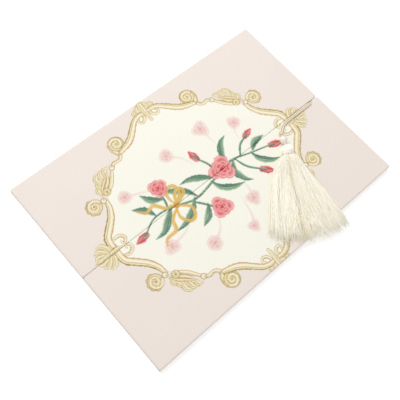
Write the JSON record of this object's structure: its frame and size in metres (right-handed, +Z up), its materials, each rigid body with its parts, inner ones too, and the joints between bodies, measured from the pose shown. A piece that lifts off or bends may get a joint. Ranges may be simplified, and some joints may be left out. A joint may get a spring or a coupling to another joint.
{
  "type": "prayer book",
  "caption": "Thin gatefold prayer book: two cloth-covered doors meet down the middle over a bound booklet, with a corded tassel and bead.",
  "frame": {"origin": "under the middle of the closed book, on the surface it lies on", "axes": "+X across the two doors to the right one, +Y from foot to head, +Z up through the closed book"},
  "size_m": [0.1623, 0.21, 0.0132],
  "materials": {
    "cover_cloth": "fine matt twill cloth, pale champagne pink, printed on the doors",
    "cover_board": "grey pressed board",
    "lining_paper": "smooth uncoated lining paper",
    "padding": "thin white wadding",
    "wrapper_card": "uncoated cream card",
    "leaf_paper": "uncoated cream paper",
    "binding_glue": "dried clear glue",
    "cord_yarn": "twisted rayon yarn, off white",
    "white_thread": "spun white sewing thread",
    "pearl": "pearl-coated bead",
    "skirt_yarn": "glossy rayon floss, cream"
  },
  "bodies": {
    "back": {"back_cloth": "cover_cloth", "back_board": "cover_board", "back_lining": "lining_paper", "booklet_wrapper": "wrapper_card", "booklet_leaves": "leaf_paper", "booklet_glue": "binding_glue"},
    "left_spine": {"left_spine_cloth": "cover_cloth", "left_spine_board": "cover_board"},
    "right_spine": {"right_spine_cloth": "cover_cloth", "right_spine_board": "cover_board"},
    "left_door": {"left_door_cloth": "cover_cloth", "left_door_padding": "padding", "left_door_board": "cover_board", "left_door_lining": "lining_paper", "left_door_thread": "white_thread"},
    "right_door": {"right_door_cloth": "cover_cloth", "right_door_padding": "padding", "right_door_board": "cover_board", "right_door_lining": "lining_paper", "cord_anchor": "cord_yarn"},
    "cord": {"cord_strand_inner": "cord_yarn", "cord_strand_outer": "cord_yarn", "cord_tie": "white_thread", "tassel_knot": "cord_yarn"},
    "tassel": {"tassel_core": "cord_yarn", "tassel_pearl": "pearl", "tassel_head": "skirt_yarn", "tassel_binding": "white_thread", "tassel_skirt": "skirt_yarn"}
  },
  "joints": [
    {"name": "left_spine_fold", "type": "hinge", "parent": "back", "child": "left_spine", "pos_m": [-0.074, 0, 0], "axis": [0, -1, 0], "range_deg": [0, 90]},
    {"name": "right_spine_fold", "type": "hinge", "parent": "back", "child": "right_spine", "pos_m": [0.074, 0, 0], "axis": [0, 1, 0], "range_deg": [0, 90]},
    {"name": "left_door_fold", "type": "hinge", "parent": "left_spine", "child": "left_door", "pos_m": [-0.074, 0, 0.005], "axis": [0, -1, 0], "range_deg": [0, 90]},
    {"name": "right_door_fold", "type": "hinge", "parent": "right_spine", "child": "right_door", "pos_m": [0.074, 0, 0.005], "axis": [0, 1, 0], "range_deg": [0, 90]},
    {"name": "cord_swing", "type": "hinge", "parent": "right_door", "child": "cord", "pos_m": [0.0031, 0.096, 0.005], "axis": [0, 0, 1], "range_deg": [0, 60]},
    {"name": "tassel_swing", "type": "hinge", "parent": "cord", "child": "tassel", "pos_m": [0.0077, 0.0608, 0.0072], "axis": [0, 0, 1], "range_deg": [-25, 30]}
  ]
}
